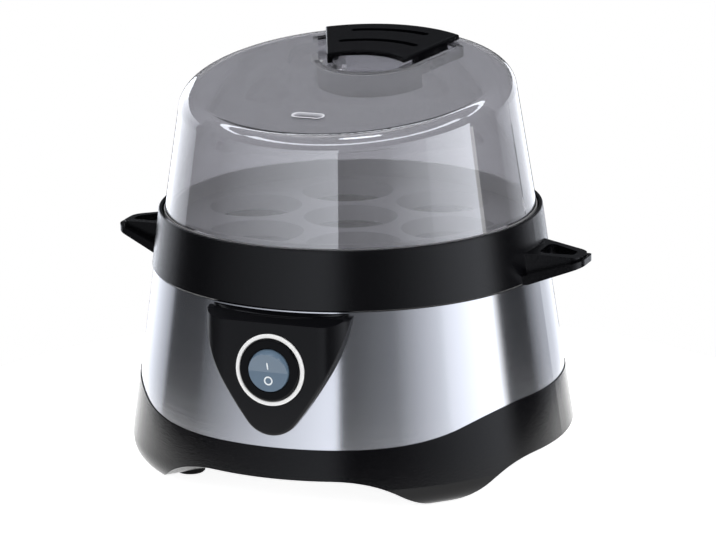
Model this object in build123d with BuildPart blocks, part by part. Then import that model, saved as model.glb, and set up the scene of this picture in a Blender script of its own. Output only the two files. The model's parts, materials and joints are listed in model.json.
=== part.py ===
"""Electric egg boiler for seven eggs, millimetres, +Z up.

The origin lies on the upright axis at the level of the worktop, and the control panel
faces -Y.  A steel sleeve stands on a black moulded foot skirt and carries a pan with
a heater under it.  A ring with two loop handles, an egg rack and a clear lid stack on top.
"""
from build123d import *
import os
from math import cos, radians, sin, tan

os.makedirs("parts", exist_ok=True)

# ---------------------------------------------------------------- driving dimensions
# Clearances
body_gap = 0.3              # between pieces that lift off each other
snug_gap = 0.15             # between pieces that are screwed together
screw_gap = 0.1             # round a screw or pin in its hole
seam_gap = 0.1              # under the sleeve's wavy edge
cut_over = 5.0              # cutters run this far past what they cut

# Outer body: one cone from the foot skirt up to the carrier
body_top_z = 81.5
body_top_r = 82.3
body_taper = 8.22           # degrees from upright
sleeve_wall = 0.6

# Seam between skirt and sleeve: high at the sides, low at front and back
seam_side_z = 37.2
seam_front_z = 26.8
seam_side_half = 26.0       # half length of the level stretch at each side
seam_front_out = 5.7        # past the sleeve's top edge, where the wave is down to its low level

# Foot skirt
skirt_proud = 0.4           # stands out past the sleeve
skirt_wall = 2.6
skirt_round = 8.5           # roll-in at the bottom edge
skirt_lip = 4.0             # spigot inside the sleeve
arch_z = 14.4               # crown of the four arches
foot_z = 1.0                # lowest moulded level, between the arches
arch_out = 17.7             # arch section is set out this far past the sleeve's top edge
arch_flat_half = 28.0       # half length of the crown there
arch_near = 30.0            # and narrows towards the axis up to here
arch_roof = 2.4             # wall above the arches
lobe_depth = 10.0           # from the foot screws in to the inner side of the four foot lobes
foot_floor = 5.5            # floor inside a lobe
mid_floor = 4.0             # floor in the middle

# Bottom cover
cover_margin = 6.0          # in from the foot lobes
cover_lap = 11.0            # over the edge of its opening
cover_thick = 2.0
cover_screw_inset = 5.0     # in from its edge
cover_screw_count = 3
cover_boss_r = 3.6
cover_boss_height = 6.0
vent_slot_width = 3.0
vent_slot_length = 16.0
vent_slot_circle = 28.0
vent_slot_count = 12

# Screws
screw_r = 1.5
screw_head_r = 3.0
screw_head = 1.6
small_screw_r = 1.2
small_head_r = 2.3
small_head = 1.2

# Rubber feet and main screws
foot_inset = 8.3            # in from the sleeve's top edge
foot_pad_r = 6.0
foot_pad_height = 3.4
foot_screw_seat = 5.0       # level of the seat under the screw head
main_boss_r = 4.0
main_screw_depth = 14.0

# Top collar
collar_wall = 2.0
collar_flange = 2.0
collar_skirt_z = 68.0
spigot_inset = 6.3          # in from the sleeve's top edge
spigot_wall = 2.0
spigot_top_z = 86.0
pan_seat_z = 77.2
pan_seat_thick = 2.0
pan_seat_width = 9.5        # from the spigot in to its edge

# Pan
pan_wall = 0.8
pan_rim_room = 0.6          # to the spigot round it
pan_mouth_room = 2.5        # to the seat's edge round it
pan_draw = 5.0              # drawn in from mouth to floor
pan_depth = 15.0
pan_corner = 4.0
gasket_thick = 1.0
gasket_inset = 1.9          # in from the pan's rim
gasket_width = 5.5

# Heater
plate_r = 45.0
plate_thick = 5.0
element_r = 3.25
element_circle = 34.0
element_sweep = 300.0       # degrees
element_leg = 9.0
element_gap = 0.05
terminal_r = 1.3
terminal_length = 9.0
stud_r = 2.0
stud_circle = 22.0
stud_count = 3
nut_r = 4.0
nut_height = 3.2
shield_wall = 0.8
shield_floor_z = 46.0
shield_room = 1.3           # to the pan seat's edge round it
shield_draw = 5.2           # drawn in from mouth to floor
shield_rim = 6.2            # width of the rim under the pan seat
thermostat_r = 8.0
thermostat_height = 7.0
bracket_thick = 1.0
bracket_width = 9.0
bracket_half = 14.0
fuse_r = 2.0
fuse_length = 11.0
fuse_x = 13.0

# Carrier ring with loop handles
carrier_top_z = 106.0
carrier_overhang = 0.7      # past the sleeve's top edge
carrier_draw = 3.3          # drawn in from bottom to top
carrier_rim = 1.4           # wall round the rack
carrier_wall = 2.6
carrier_foot_flange = 2.2
rack_ledge_thick = 2.0
rack_ledge_width = 7.8      # from the inside of the rim in to its edge
handle_reach = 20.3         # past the ring's bottom edge
handle_root_in = 0.2        # from the ring's top edge into its wall
handle_tip_z = 88.4         # underside at the tip
handle_tip_top_z = 91.8
handle_root_top_z = 94.2
handle_flange = 3.0
handle_root_half = 18.0
handle_tip_half = 8.5
handle_web = 3.4            # side of the loop, seen from above
handle_tip_web = 5.0
handle_body_inset = 4.2     # upper body stands in from the flange
handle_corner = 7.0

# Egg rack
rack_room = 0.9             # to the ring round it
rack_thick = 1.8
rack_top_below = 5.7        # its plate lies this far under the ring's top edge
rack_rim_below = 0.2        # and the rim that carries the lid this far
rack_lip_wall = 1.6         # upright wall between plate and rim
rack_lip = 1.6              # the wall runs this far up inside the lid
rack_turn = -67.0           # degrees, one hole of the ring of holes points this way
egg_hole_r = 19.5
egg_circle = 45.5
egg_count = 6               # round the one in the middle
cup_depth = 6.0
cup_wall = 1.4
cup_bottom_r = 17.0

# Lid
lid_foot_inset = 0.3        # in from the edge of the rack's rim
lid_taper = 9.09            # degrees from upright
lid_wall = 2.0
lid_top_z = 159.3           # on the axis
lid_tilt = 8.4              # degrees, rising to the back
lid_round = 8.0
pocket_front_r = 23.5
pocket_front_y = 29.8       # centre of the front arc, along the slanted top
pocket_flare = 22.0         # degrees, each side
pocket_back_r = 55.0
pocket_depth = 10.0
ledge_depth = 4.5
ledge_width = 11.5
ledge_front = 1.0           # along the side from the front arc
lid_vent_y = -45.5
lid_vent_length = 13.0
lid_vent_width = 4.6

# Lid handle
grip_inner_r = 25.7
grip_outer_r = 59.5
grip_inset = 3.6            # from the side of the pocket
grip_thick = 2.3
grip_leg = 2.3
grip_edge = 0.8
grip_boss_r = 2.6
grip_boss_along = 14.0      # along the pocket's side from the front arc
grip_leg_front = 4.0
grip_leg_back = 24.0
groove_width = 3.0
groove_depth = 1.2
groove_rows = ((51.5, 18.0), (38.5, 25.0))      # radius and half angle of each groove

# Control panel and switch
panel_top_z = 80.0
panel_top_drop = 2.4        # its top face falls this far to the front
panel_proud = 6.2           # front face at the top edge, past the sleeve's top edge
panel_lean = 2.6            # degrees, the face leans back going up
panel_top_half = 31.0
panel_mid_z = 57.0
panel_mid_half = 23.6
panel_tip_z = 31.5
panel_tip_round = 13.0
panel_tip_turn = 38.0       # degrees from level where the tip's arc ends
panel_corner = 11.0
panel_edge = 1.1
panel_screw_z = 66.5
panel_screw_turn = 13.0     # degrees either side of the front
switch_z = 58.7
ring_outer_r = 14.6
ring_inner_r = 12.9
ring_recess = 0.8
ring_proud = 0.7
bezel_r = 12.7
bezel_proud = 1.6
barrel_r = 10.0
barrel_depth = 17.0
rocker_r = 8.8
rocker_gap = 0.2
rocker_cavity_depth = 9.0
rocker_below = 4.5          # under the pivot
rocker_throw = 10.0         # degrees to either side of level
rocker_dish = 8.0           # degrees, slope of each half of the face
rocker_vee = 2.6            # height of the bottom of the vee over the pivot
pivot_depth = 2.0           # under the front of the bezel
pivot_pin_r = 0.9
blade_width = 4.8
blade_thick = 0.8
blade_length = 7.5
blade_spacing = 9.0

# Cord inlet, terminal block and wires
inlet_z = 20.6
inlet_bore_r = 3.4
inlet_neck_r = 4.3
inlet_flange_r = 5.7
inlet_flange = 1.2
inlet_neck = 6.5
block_length = 30.0
block_depth = 12.0
block_height = 12.0
block_y = 49.5
block_poles = 3
block_bore_r = 1.8
wire_r = 1.1
wire_run = 14.0             # straight run out of the terminal block
wire_drop_gap = 2.4         # from the switch blades to where their wires turn down
wire_mid_z = 31.0
wire_low_z = 27.0

# ---------------------------------------------------------------- worked-out sizes
taper = tan(radians(body_taper))
lid_slope = tan(radians(lid_taper))
seam_front_y = body_top_r + seam_front_out
arch_reach = body_top_r + arch_out
foot_circle = body_top_r - foot_inset
lobe_inner_r = foot_circle - lobe_depth
cover_r = lobe_inner_r - cover_margin
cover_opening_r = cover_r - cover_lap
cover_screw_circle = cover_r - cover_screw_inset
spigot_outer_r = body_top_r - spigot_inset
spigot_inner_r = spigot_outer_r - spigot_wall
pan_seat_inner_r = spigot_inner_r - pan_seat_width
pan_rim_r = spigot_inner_r - pan_rim_room
pan_mouth_r = pan_seat_inner_r - pan_mouth_room
pan_floor_r = pan_mouth_r - pan_draw
gasket_outer_r = pan_rim_r - gasket_inset
gasket_inner_r = gasket_outer_r - gasket_width
shield_mouth_r = pan_seat_inner_r - shield_room
shield_floor_r = shield_mouth_r - shield_draw
shield_rim_r = shield_mouth_r + shield_rim
carrier_bottom_r = body_top_r + carrier_overhang
carrier_top_r = carrier_bottom_r - carrier_draw
rim_inner_r = carrier_top_r - carrier_rim
rack_r = rim_inner_r - rack_room
rack_ledge_inner_r = rim_inner_r - rack_ledge_width
lid_foot_r = rack_r - lid_foot_inset
rack_wall_r = lid_foot_r - lid_wall - body_gap - rack_lip * lid_slope
handle_tip_x = carrier_bottom_r + handle_reach
handle_root_x = carrier_top_r - handle_root_in
panel_top_y = body_top_r + panel_proud
carrier_bottom_z = body_top_z + 0.8 * body_gap
carrier_taper =(carrier_bottom_r - carrier_top_r) / (carrier_top_z - carrier_bottom_z)
rack_rim_z = carrier_top_z - rack_rim_below
rack_lip_z = rack_rim_z + rack_lip
lid_foot_z = rack_rim_z + body_gap
rack_top_z = carrier_top_z - rack_top_below
rack_bottom_z = rack_top_z - rack_thick
rack_seat_z = rack_bottom_z - body_gap
rack_ledge_z = rack_seat_z - rack_ledge_thick
foot_floor_z = foot_z + foot_floor
pan_rim_z = pan_seat_z + gasket_thick
pan_floor_z = pan_rim_z - pan_depth
plate_bottom_z = pan_floor_z - plate_thick
skirt_top_z = seam_side_z + skirt_lip


def shell_r(z, inset=0.0):
    """Radius of the outer body cone at height z, less an inset measured level."""
    return body_top_r + (body_top_z - z) * taper - inset


def carrier_r(z):
    """Outer radius of the carrier ring at height z."""
    return carrier_bottom_r - (z - carrier_bottom_z) * carrier_taper


def save(piece, name):
    """Label one finished piece and write its STEP file."""
    piece.part.label = name
    export_step(piece.part, f"parts/{name}.step")


def wave(flat_half, end_half, flat_z, end_z):
    """A level stretch with an S of two equal arcs down each side, in the open line."""
    mid = ((flat_half + end_half) / 2, (flat_z + end_z) / 2)
    Line((-flat_half, flat_z), (flat_half, flat_z))
    for side in (1, -1):
        TangentArc((side * flat_half, flat_z), (side * mid[0], mid[1]), tangent=(side, 0))
        TangentArc((side * end_half, end_z), (side * mid[0], mid[1]), tangent=(-side, 0))


def cone_face(angle, z, inset=0.0):
    """Plane on the body cone, facing out, at an angle about Z from +X."""
    r = shell_r(z, inset)
    out = Vector(cos(radians(angle)), sin(radians(angle)), taper).normalized()
    side = (-sin(radians(angle)), cos(radians(angle)), 0)
    spot = (r * cos(radians(angle)), r * sin(radians(angle)), z)
    return Plane(origin=spot, x_dir=side, z_dir=out)


def foot_spots(z):
    """The four foot screws, at height z."""
    return [Location((foot_circle * cos(radians(a)), foot_circle * sin(radians(a)), z))
            for a in (45, 135, 225, 315)]


def above_seam(lift):
    """Everything above the wavy seam, raised by lift."""
    far = 2 * seam_front_y
    with BuildPart() as space:
        with BuildSketch(Plane.YZ):
            with BuildLine():
                wave(seam_side_half, seam_front_y, seam_side_z + lift, seam_front_z + lift)
                Polyline((seam_front_y, seam_front_z + lift), (far, seam_front_z + lift), (far, far),
                         (-far, far), (-far, seam_front_z + lift), (-seam_front_y, seam_front_z + lift))
            make_face()
        extrude(amount=far, both=True)
    return space.part


def under_body(lift_arch, lift_middle, wall):
    """The room under the body: four arches and the middle, raised into the body."""
    with BuildPart() as arch:
        for reach in (arch_reach, arch_near):
            squeeze = reach / arch_reach
            with BuildSketch(Plane.XZ.offset(reach)):
                with BuildLine():
                    wave(arch_flat_half * squeeze, arch_reach * squeeze, arch_z + lift_arch, foot_z + lift_arch)
                    Polyline((reach, foot_z + lift_arch), (reach, -foot_z - arch_z),
                             (-reach, -foot_z - arch_z), (-reach, foot_z + lift_arch))
                make_face()
        loft(ruled=True)
    with BuildPart() as space:
        with BuildSketch(Plane.XY.offset(-foot_z - arch_z)):
            Circle(lobe_inner_r + wall)
        extrude(amount=2 * arch_z + foot_z + lift_middle)
        with PolarLocations(0, 4):
            add(arch.part)
    return space.part


# ---------------------------------------------------------------- foot skirt
with BuildPart() as tub_room:
    with BuildSketch(Plane.XZ) as room_outline:
        with BuildLine():
            Polyline((0, foot_floor_z), (shell_r(foot_floor_z, skirt_wall), foot_floor_z),
                     (shell_r(skirt_top_z + cut_over, skirt_wall), skirt_top_z + cut_over),
                     (0, skirt_top_z + cut_over), close=True)
        make_face()
        fillet(room_outline.vertices().group_by(Axis.Y)[0].sort_by(Axis.X)[-1], skirt_round - foot_floor)
    revolve(axis=Axis.Z)
    add(under_body(arch_roof, mid_floor, arch_roof), mode=Mode.SUBTRACT)

with BuildPart() as seam_band:
    with BuildSketch(Plane.XZ):
        low, high, outer = seam_front_z - 2, skirt_top_z + 2, -5 * skirt_proud
        inner = sleeve_wall + snug_gap
        Polygon((shell_r(low, inner), low), (shell_r(low, outer), low), (shell_r(high, outer), high),
                (shell_r(high, inner), high), align=None)
    revolve(axis=Axis.Z)
    add(above_seam(-seam_gap), mode=Mode.INTERSECT)

inlet_plane = cone_face(90, inlet_z, -skirt_proud)

with BuildPart() as foot_skirt:
    with BuildSketch(Plane.XZ) as tub_outline:
        with BuildLine():
            Polyline((0, foot_z), (shell_r(foot_z, -skirt_proud), foot_z),
                     (shell_r(skirt_top_z, -skirt_proud), skirt_top_z), (0, skirt_top_z), close=True)
        make_face()
        fillet(tub_outline.vertices().group_by(Axis.Y)[0].sort_by(Axis.X)[-1], skirt_round)
    revolve(axis=Axis.Z)
    add(under_body(0, 0, 0), mode=Mode.SUBTRACT)
    add(tub_room.part, mode=Mode.SUBTRACT)
    add(above_seam(skirt_lip), mode=Mode.SUBTRACT)
    add(seam_band.part, mode=Mode.SUBTRACT)
    # screw bosses, opening and recess for the bottom cover
    with BuildSketch(Plane.XY.offset(arch_z + cover_thick)):
        with PolarLocations(cover_screw_circle, cover_screw_count, start_angle=-90):
            Circle(cover_boss_r)
    extrude(amount=mid_floor - cover_thick + cover_boss_height)
    with Locations((0, 0, arch_z)):
        Cylinder(cover_opening_r, 4 * mid_floor, mode=Mode.SUBTRACT)
    with BuildSketch(Plane.XY.offset(arch_z)):
        Circle(cover_r + snug_gap)
    extrude(amount=cover_thick, mode=Mode.SUBTRACT)
    with BuildSketch(Plane.XY.offset(arch_z)):
        with PolarLocations(cover_screw_circle, cover_screw_count, start_angle=-90):
            Circle(small_screw_r + screw_gap)
    extrude(amount=mid_floor + cover_boss_height - cover_thick, mode=Mode.SUBTRACT)
    # rubber foot recess, screw head seat and screw hole in each lobe
    for radius, bottom, top in ((foot_pad_r + snug_gap, 0, foot_pad_height),
                                (screw_head_r + screw_gap, 0, foot_screw_seat),
                                (screw_r + screw_gap, 0, foot_floor_z)):
        with BuildSketch(Plane.XY.offset(bottom)):
            with Locations(*foot_spots(0)):
                Circle(radius)
        extrude(amount=top - bottom, mode=Mode.SUBTRACT)
    # cord inlet hole with a flush seat for the bush
    with BuildSketch(inlet_plane):
        Circle(inlet_neck_r + screw_gap)
    extrude(amount=-3 * skirt_wall, mode=Mode.SUBTRACT)
    with BuildSketch(inlet_plane.offset(-inlet_flange + snug_gap)):
        Circle(inlet_flange_r + snug_gap)
    extrude(amount=2 * inlet_flange, mode=Mode.SUBTRACT)
save(foot_skirt, "foot_skirt")

with BuildPart() as rubber_feet:
    with BuildSketch(Plane.XY):
        with Locations(*foot_spots(0)):
            Circle(foot_pad_r)
    extrude(amount=foot_pad_height)
    chamfer(rubber_feet.faces().filter_by(Axis.Z).group_by(Axis.Z)[0].edges(), foot_z / 2)
save(rubber_feet, "rubber_feet")

with BuildPart() as main_screws:
    with BuildSketch(Plane.XY.offset(foot_screw_seat - screw_head)):
        with Locations(*foot_spots(0)):
            Circle(screw_head_r)
    extrude(amount=screw_head)
    with BuildSketch(Plane.XY.offset(foot_screw_seat)):
        with Locations(*foot_spots(0)):
            Circle(screw_r)
    extrude(amount=foot_floor_z - foot_screw_seat + main_screw_depth - 1)
save(main_screws, "main_screws")

# ---------------------------------------------------------------- bottom cover
with BuildPart() as bottom_cover:
    with BuildSketch(Plane.XY.offset(arch_z)):
        Circle(cover_r)
        with PolarLocations(cover_screw_circle, cover_screw_count, start_angle=-90):
            Circle(small_screw_r + screw_gap, mode=Mode.SUBTRACT)
        with PolarLocations(vent_slot_circle, vent_slot_count):
            SlotOverall(vent_slot_length, vent_slot_width, mode=Mode.SUBTRACT)
    extrude(amount=cover_thick)
    with BuildSketch(Plane.XY.offset(arch_z)):
        with PolarLocations(cover_screw_circle, cover_screw_count, start_angle=-90):
            Circle(small_head_r + screw_gap)
    extrude(amount=small_head, mode=Mode.SUBTRACT)
    with BuildSketch(Plane.XY.offset(arch_z + cover_thick)):
        Circle(cover_opening_r - 2 * snug_gap)
        Circle(cover_opening_r - 2 * snug_gap - cover_thick, mode=Mode.SUBTRACT)
    extrude(amount=cover_thick)
save(bottom_cover, "bottom_cover")

with BuildPart() as cover_screws:
    with BuildSketch(Plane.XY.offset(arch_z)):
        with PolarLocations(cover_screw_circle, cover_screw_count, start_angle=-90):
            Circle(small_head_r)
    extrude(amount=small_head)
    with BuildSketch(Plane.XY.offset(arch_z)):
        with PolarLocations(cover_screw_circle, cover_screw_count, start_angle=-90):
            Circle(small_screw_r)
    extrude(amount=mid_floor + cover_boss_height / 2)
save(cover_screws, "cover_screws")

# ---------------------------------------------------------------- switch planes
panel_lean_tan = tan(radians(panel_lean))
switch_y = panel_top_y + (panel_top_z - switch_z) * panel_lean_tan
switch_plane = Plane(origin=(0, -switch_y, switch_z), x_dir=(1, 0, 0),
                     z_dir=(0, -cos(radians(panel_lean)), sin(radians(panel_lean))))
panel_screw_planes = [cone_face(-90 + side * panel_screw_turn, panel_screw_z, sleeve_wall)
                      for side in (-1, 1)]

# ---------------------------------------------------------------- steel sleeve
with BuildPart() as steel_sleeve:
    with BuildSketch(Plane.XZ):
        low = seam_front_z - 1
        Polygon((shell_r(low, sleeve_wall), low), (shell_r(low), low), (shell_r(body_top_z), body_top_z),
                (shell_r(body_top_z, sleeve_wall), body_top_z), align=None)
    revolve(axis=Axis.Z)
    add(above_seam(0), mode=Mode.INTERSECT)
    with BuildSketch(switch_plane):
        Circle(barrel_r + 2 * snug_gap)
    extrude(amount=-barrel_depth, mode=Mode.SUBTRACT)
    for spot in panel_screw_planes:
        with BuildSketch(spot):
            Circle(small_screw_r + screw_gap)
        extrude(amount=2 * sleeve_wall, both=True, mode=Mode.SUBTRACT)
save(steel_sleeve, "steel_sleeve")

# ---------------------------------------------------------------- control panel
with BuildPart() as panel_block:
    # plan shape, swept up the leaning front
    base_y = panel_top_y + (panel_top_z - panel_tip_z) * panel_lean_tan
    with BuildSketch(Plane.XY.offset(panel_tip_z)) as panel_plan:
        with Locations((0, -base_y)):
            Rectangle(2 * panel_top_half, base_y / 2, align=(Align.CENTER, Align.MIN))
        fillet(panel_plan.vertices().group_by(Axis.Y)[0], panel_corner)
    rise = panel_top_z - panel_tip_z
    extrude(amount=rise / cos(radians(panel_lean)),
            dir=(0, sin(radians(panel_lean)), cos(radians(panel_lean))))

with BuildPart() as control_panel:
    with BuildSketch(Plane.XZ):
        with BuildLine() as shield:
            Line((-panel_top_half, panel_top_z), (panel_top_half, panel_top_z))
            tip = CenterArc((0, panel_tip_z + panel_tip_round), panel_tip_round,
                            panel_tip_turn - 180, 180 - 2 * panel_tip_turn)
            for side, start, heading in ((-1, tip @ 0, -(tip % 0)), (1, tip @ 1, tip % 1)):
                lower = TangentArc(start, (side * panel_mid_half, panel_mid_z), tangent=heading)
                TangentArc(lower @ 1, (side * panel_top_half, panel_top_z), tangent=lower % 1)
        make_face()
    extrude(amount=2 * panel_top_y)
    add(panel_block.part, mode=Mode.INTERSECT)
    fillet(control_panel.faces().sort_by(Axis.Y)[0].edges(), panel_edge)
    # top face falls to the front
    with BuildSketch(Plane.YZ):
        fall = panel_top_drop / (panel_top_y - body_top_r)
        Polygon((-body_top_r, panel_top_z), (-panel_top_y, panel_top_z - panel_top_drop),
                (-panel_top_y - cut_over, panel_top_z - panel_top_drop - fall * cut_over),
                (-panel_top_y - cut_over, panel_top_z + cut_over), (-body_top_r, panel_top_z + cut_over),
                align=None)
    extrude(amount=panel_top_half + cut_over, both=True, mode=Mode.SUBTRACT)
    # back follows the sleeve
    with BuildSketch(Plane.XZ):
        high = body_top_z + cut_over
        Polygon((0, 0), (shell_r(0, -snug_gap), 0), (shell_r(high, -snug_gap), high), (0, high), align=None)
    revolve(axis=Axis.Z, mode=Mode.SUBTRACT)
    # seat for the trim ring and bezel, and the switch hole
    with BuildSketch(switch_plane.offset(-ring_recess)):
        Circle(ring_outer_r + snug_gap)
    extrude(amount=2 * ring_recess, mode=Mode.SUBTRACT)
    with BuildSketch(switch_plane):
        Circle(barrel_r + 2 * snug_gap)
    extrude(amount=-barrel_depth, mode=Mode.SUBTRACT)
    for spot in panel_screw_planes:
        with BuildSketch(spot):
            Circle(small_screw_r + screw_gap)
        extrude(amount=sleeve_wall + 4, mode=Mode.SUBTRACT)
save(control_panel, "control_panel")

with BuildPart() as panel_screws:
    for spot in panel_screw_planes:
        with BuildSketch(spot.offset(-small_head - screw_gap)):
            Circle(small_head_r)
        extrude(amount=small_head)
        with BuildSketch(spot.offset(-screw_gap)):
            Circle(small_screw_r)
        extrude(amount=sleeve_wall + 3)
save(panel_screws, "panel_screws")

# ---------------------------------------------------------------- switch
with BuildPart() as switch_trim_ring:
    with BuildSketch(switch_plane.offset(-ring_recess)):
        Circle(ring_outer_r)
        Circle(ring_inner_r, mode=Mode.SUBTRACT)
    extrude(amount=ring_recess + ring_proud)
    fillet(switch_trim_ring.faces().sort_by(Axis.Y)[0].edges(), ring_proud / 2)
save(switch_trim_ring, "switch_trim_ring")

pivot_plane = switch_plane.offset(bezel_proud - pivot_depth)

with BuildPart() as switch_housing:
    with BuildSketch(switch_plane.offset(-barrel_depth)):
        Circle(barrel_r)
    extrude(amount=barrel_depth)
    with BuildSketch(switch_plane.offset(-ring_recess)):
        Circle(bezel_r)
    extrude(amount=ring_recess + bezel_proud)
    fillet(switch_housing.faces().sort_by(Axis.Y)[0].edges(), bezel_proud / 2)
    with BuildSketch(switch_plane.offset(bezel_proud)):
        Circle(rocker_r + rocker_gap)
    extrude(amount=-rocker_cavity_depth, mode=Mode.SUBTRACT)
    # pivot holes across the barrel
    with BuildSketch(Plane(origin=pivot_plane.origin, x_dir=(0, 0, 1), z_dir=(1, 0, 0))):
        Circle(pivot_pin_r + screw_gap)
    extrude(amount=barrel_r, both=True, mode=Mode.SUBTRACT)
save(switch_housing, "switch_housing")

with BuildPart() as switch_terminals:
    with BuildSketch(switch_plane.offset(-barrel_depth - blade_length)):
        with GridLocations(0, blade_spacing, 1, 2):
            Rectangle(blade_width, blade_thick)
    extrude(amount=blade_length)
save(switch_terminals, "switch_terminals")

# The rocker is drawn level on the pivot, then tipped to its off position: top out.
rocker_tip = tan(radians(rocker_dish)) * rocker_r
with BuildPart() as rocker_level:
    with BuildSketch(Plane.YZ):
        Polygon((-rocker_r, rocker_vee + rocker_tip), (0, rocker_vee), (rocker_r, rocker_vee + rocker_tip),
                (rocker_r, -rocker_below), (-rocker_r, -rocker_below), align=None)
    extrude(amount=rocker_r, both=True)
    add(Solid.make_sphere(rocker_r, angle1=-90, angle2=90, angle3=360), mode=Mode.INTERSECT)
    with BuildSketch(Plane.YZ):
        Circle(pivot_pin_r)
    extrude(amount=barrel_r - screw_gap, both=True)

with BuildPart() as rocker:
    add(pivot_plane.location * Rot(rocker_throw, 0, 0) * rocker_level.part)
save(rocker, "rocker")

# ---------------------------------------------------------------- top collar
with BuildPart() as top_collar:
    with BuildSketch(Plane.XZ):
        lean = sleeve_wall + snug_gap
        flange_z = body_top_z - collar_flange
        Polygon((pan_seat_inner_r, pan_seat_z - pan_seat_thick), (pan_seat_inner_r, pan_seat_z),
                (spigot_inner_r, pan_seat_z), (spigot_inner_r, spigot_top_z), (spigot_outer_r, spigot_top_z),
                (spigot_outer_r, body_top_z), (shell_r(body_top_z, lean), body_top_z),
                (shell_r(collar_skirt_z, lean), collar_skirt_z),
                (shell_r(collar_skirt_z, lean + collar_wall), collar_skirt_z),
                (shell_r(flange_z, lean + collar_wall), flange_z), (spigot_outer_r, flange_z),
                (spigot_outer_r, pan_seat_z - pan_seat_thick), align=None)
    revolve(axis=Axis.Z)
    fillet(top_collar.edges().filter_by(GeomType.CIRCLE).group_by(Axis.Z)[-1], spigot_wall / 4)
    with BuildSketch(Plane.XY.offset(foot_floor_z)):
        with Locations(*foot_spots(0)):
            Circle(main_boss_r)
    extrude(amount=pan_seat_z - pan_seat_thick / 2 - foot_floor_z)
    with BuildSketch(Plane.XY.offset(foot_floor_z)):
        with Locations(*foot_spots(0)):
            Circle(screw_r + screw_gap)
    extrude(amount=main_screw_depth, mode=Mode.SUBTRACT)
    # notch behind the panel screws and the switch
    with BuildSketch(Plane.XZ.offset(spigot_outer_r + 2 * snug_gap)):
        with Locations((0, collar_skirt_z)):
            Rectangle(2.4 * (ring_outer_r + screw_head_r), 2 * (collar_flange + screw_head_r))
    extrude(amount=body_top_r / 2, mode=Mode.SUBTRACT)
save(top_collar, "top_collar")

# ---------------------------------------------------------------- pan and gasket
with BuildPart() as boiling_pan:
    with BuildSketch(Plane.XZ) as pan_section:
        with BuildLine() as pan_line:
            bowl = FilletPolyline((0, pan_floor_z), (pan_floor_r, pan_floor_z), (pan_mouth_r, pan_rim_z),
                                  (pan_rim_r, pan_rim_z), radius=(pan_corner, pan_corner / 2))
            back = FilletPolyline((0, pan_floor_z + pan_wall), (pan_floor_r - pan_wall, pan_floor_z + pan_wall),
                                  (pan_mouth_r - pan_wall, pan_rim_z + pan_wall),
                                  (pan_rim_r, pan_rim_z + pan_wall),
                                  radius=(pan_corner - pan_wall, pan_corner / 2 + pan_wall))
            Line(bowl @ 0, back @ 0)
            Line(bowl @ 1, back @ 1)
        make_face()
    revolve(axis=Axis.Z)
save(boiling_pan, "boiling_pan")

with BuildPart() as pan_gasket:
    with BuildSketch(Plane.XY.offset(pan_seat_z)):
        Circle(gasket_outer_r)
        Circle(gasket_inner_r, mode=Mode.SUBTRACT)
    extrude(amount=gasket_thick)
save(pan_gasket, "pan_gasket")

# ---------------------------------------------------------------- heater
element_ends = [(element_circle * cos(radians(a)), element_circle * sin(radians(a)))
                for a in (-90 + (360 - element_sweep) / 2, -90 - (360 - element_sweep) / 2)]
leg_bottom_z = plate_bottom_z - element_leg

with BuildPart() as heating_element:
    with BuildSketch(Plane.XZ.rotated((0, 0, -90 + (360 - element_sweep) / 2))):
        with Locations((element_circle, plate_bottom_z)):
            Circle(element_r)
    revolve(axis=Axis.Z, revolution_arc=element_sweep)
    with BuildSketch(Plane.XY.offset(leg_bottom_z)):
        with Locations(*element_ends):
            Circle(element_r)
    extrude(amount=element_leg)
    with Locations(*[(x, y, plate_bottom_z) for x, y in element_ends]):
        Sphere(element_r)
save(heating_element, "heating_element")

with BuildPart() as element_terminals:
    with BuildSketch(Plane.XY.offset(leg_bottom_z - terminal_length)):
        with Locations(*element_ends):
            Circle(terminal_r)
    extrude(amount=terminal_length)
save(element_terminals, "element_terminals")

with BuildPart() as heater_plate:
    with BuildSketch(Plane.XY.offset(plate_bottom_z)):
        Circle(plate_r)
    extrude(amount=plate_thick)
    chamfer(heater_plate.edges().group_by(Axis.Z)[0], plate_thick / 5)
    with BuildSketch(Plane.XZ):
        with Locations((element_circle, plate_bottom_z)):
            Circle(element_r + element_gap)
    revolve(axis=Axis.Z, mode=Mode.SUBTRACT)
save(heater_plate, "heater_plate")

with BuildPart() as heater_studs:
    with BuildSketch(Plane.XY.offset(shield_floor_z - 2 * nut_height)):
        with PolarLocations(stud_circle, stud_count, start_angle=30):
            Circle(stud_r)
    extrude(amount=plate_bottom_z - shield_floor_z + 2 * nut_height)
save(heater_studs, "heater_studs")

with BuildPart() as heater_nuts:
    with BuildSketch(Plane.XY.offset(shield_floor_z - nut_height)):
        with PolarLocations(stud_circle, stud_count, start_angle=30):
            RegularPolygon(nut_r, 6)
            Circle(stud_r + screw_gap / 2, mode=Mode.SUBTRACT)
    extrude(amount=nut_height)
save(heater_nuts, "heater_nuts")

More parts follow.
